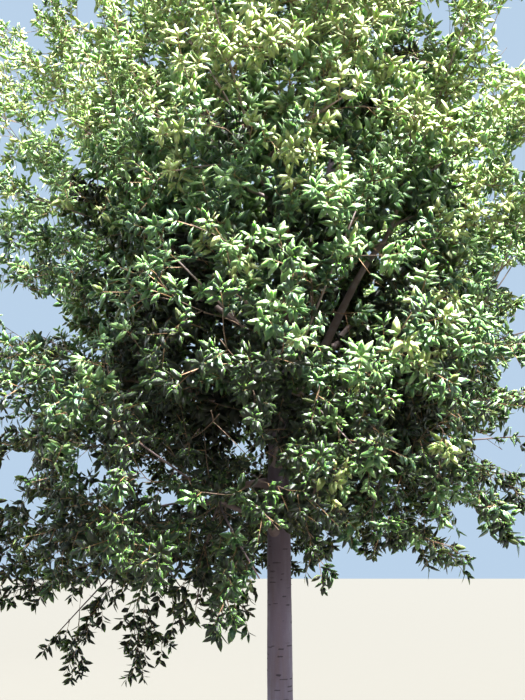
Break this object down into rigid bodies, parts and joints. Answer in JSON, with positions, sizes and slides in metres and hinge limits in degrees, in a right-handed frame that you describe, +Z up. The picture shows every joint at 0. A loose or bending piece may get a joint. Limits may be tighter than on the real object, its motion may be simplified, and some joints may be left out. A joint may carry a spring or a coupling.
{
  "type": "cork oak tree",
  "caption": "Young evergreen oak with a straight bare stem, rising boughs and a dense rounded crown of small leathery leaves.",
  "frame": {"origin": "middle of the flat cut under the stem, at ground level", "axes": "+Z up along the stem, the pictured side of the tree faces -Y, and +X is to the right in the picture"},
  "size_m": [3.6107, 3.796, 6.024],
  "materials": {
    "bark": "smooth grey-brown young bark with short dark dashes",
    "limb_bark": "brown bark with a grey bloom",
    "leaves": "leathery leaves, glossy dark green above and pale sage below"
  },
  "bodies": {
    "root": {"bough_high_1": "limb_bark", "bough_high_2": "limb_bark", "bough_high_3": "limb_bark", "bough_high_4": "limb_bark", "bough_high_5": "limb_bark", "bough_middle_1": "limb_bark", "bough_middle_2": "limb_bark", "bough_middle_3": "limb_bark", "bough_middle_4": "limb_bark", "bough_middle_5": "limb_bark", "bough_middle_6": "limb_bark", "bough_skirt_1": "limb_bark", "bough_skirt_2": "limb_bark", "bough_skirt_3": "limb_bark", "bough_skirt_4": "limb_bark", "bough_skirt_5": "limb_bark", "bough_upper_1": "limb_bark", "bough_upper_2": "limb_bark", "bough_upper_3": "limb_bark", "bough_upper_4": "limb_bark", "bough_upper_5": "limb_bark", "bough_upper_6": "limb_bark", "foliage_high_1": "leaves", "foliage_high_2": "leaves", "foliage_high_3": "leaves", "foliage_high_4": "leaves", "foliage_high_5": "leaves", "foliage_middle_1": "leaves", "foliage_middle_2": "leaves", "foliage_middle_3": "leaves", "foliage_middle_4": "leaves", "foliage_middle_5": "leaves", "foliage_middle_6": "leaves", "foliage_skirt_1": "leaves", "foliage_skirt_2": "leaves", "foliage_skirt_3": "leaves", "foliage_skirt_4": "leaves", "foliage_skirt_5": "leaves", "foliage_top": "leaves", "foliage_upper_1": "leaves", "foliage_upper_2": "leaves", "foliage_upper_3": "leaves", "foliage_upper_4": "leaves", "foliage_upper_5": "leaves", "foliage_upper_6": "leaves", "trunk": "bark"}
  },
  "joints": []
}
